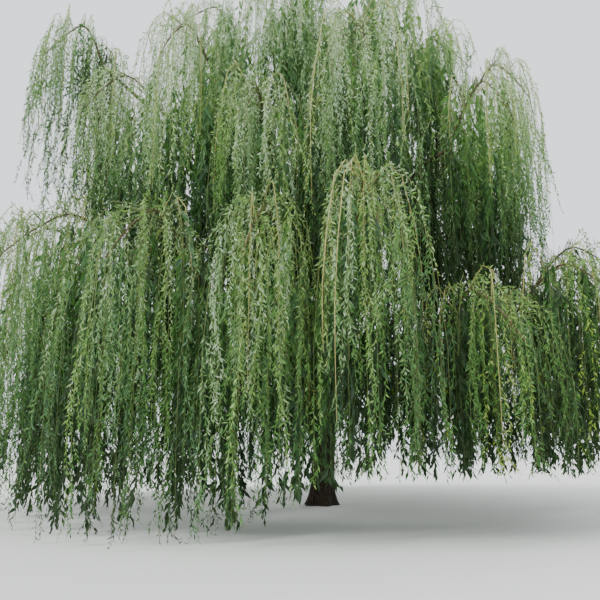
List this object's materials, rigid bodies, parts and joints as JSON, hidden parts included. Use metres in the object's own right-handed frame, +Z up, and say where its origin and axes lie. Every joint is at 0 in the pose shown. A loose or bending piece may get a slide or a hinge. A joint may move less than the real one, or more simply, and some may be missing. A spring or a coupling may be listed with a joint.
{
  "type": "weeping willow tree",
  "caption": "Full-grown weeping willow in summer leaf: short leaning trunk, arching boughs, and curtains of hanging twigs and narrow leaves in tiers.",
  "frame": {"origin": "middle of the flat cut under the trunk, at ground level", "axes": "+Z up the tree, -Y towards the side seen in the picture, +X to that picture's right"},
  "size_m": [18.1048, 18.1916, 15.4665],
  "materials": {
    "trunk_bark": "rough furrowed bark",
    "limb_bark": "rough bark, smoother towards the tips",
    "foliage": "matt to satin leaves"
  },
  "bodies": {
    "root": {"bough_shoulder_01": "limb_bark", "bough_shoulder_02": "limb_bark", "bough_shoulder_03": "limb_bark", "bough_shoulder_04": "limb_bark", "bough_shoulder_05": "limb_bark", "bough_shoulder_06": "limb_bark", "bough_shoulder_07": "limb_bark", "bough_shoulder_08": "limb_bark", "bough_shoulder_09": "limb_bark", "bough_skirt_01": "limb_bark", "bough_skirt_02": "limb_bark", "bough_skirt_03": "limb_bark", "bough_skirt_04": "limb_bark", "bough_skirt_05": "limb_bark", "bough_skirt_06": "limb_bark", "bough_skirt_07": "limb_bark", "bough_skirt_08": "limb_bark", "bough_skirt_09": "limb_bark", "bough_skirt_10": "limb_bark", "bough_skirt_11": "limb_bark", "bough_skirt_12": "limb_bark", "bough_stray": "limb_bark", "foliage_shoulder_01": "foliage", "foliage_shoulder_02": "foliage", "foliage_shoulder_03": "foliage", "foliage_shoulder_04": "foliage", "foliage_shoulder_05": "foliage", "foliage_shoulder_06": "foliage", "foliage_shoulder_07": "foliage", "foliage_shoulder_08": "foliage", "foliage_shoulder_09": "foliage", "foliage_skirt_01": "foliage", "foliage_skirt_02": "foliage", "foliage_skirt_03": "foliage", "foliage_skirt_04": "foliage", "foliage_skirt_05": "foliage", "foliage_skirt_06": "foliage", "foliage_skirt_07": "foliage", "foliage_skirt_08": "foliage", "foliage_skirt_09": "foliage", "foliage_skirt_10": "foliage", "foliage_skirt_11": "foliage", "foliage_skirt_12": "foliage", "foliage_stray": "foliage", "foliage_summit_01": "foliage", "foliage_upper_01": "foliage", "foliage_upper_02": "foliage", "foliage_upper_03": "foliage", "foliage_upper_04": "foliage", "foliage_upper_05": "foliage", "foliage_upper_06": "foliage", "limb_back": "limb_bark", "limb_back_left": "limb_bark", "limb_front": "limb_bark", "limb_front_left": "limb_bark", "limb_leader": "limb_bark", "limb_left": "limb_bark", "limb_right": "limb_bark", "trunk": "trunk_bark"}
  },
  "joints": []
}
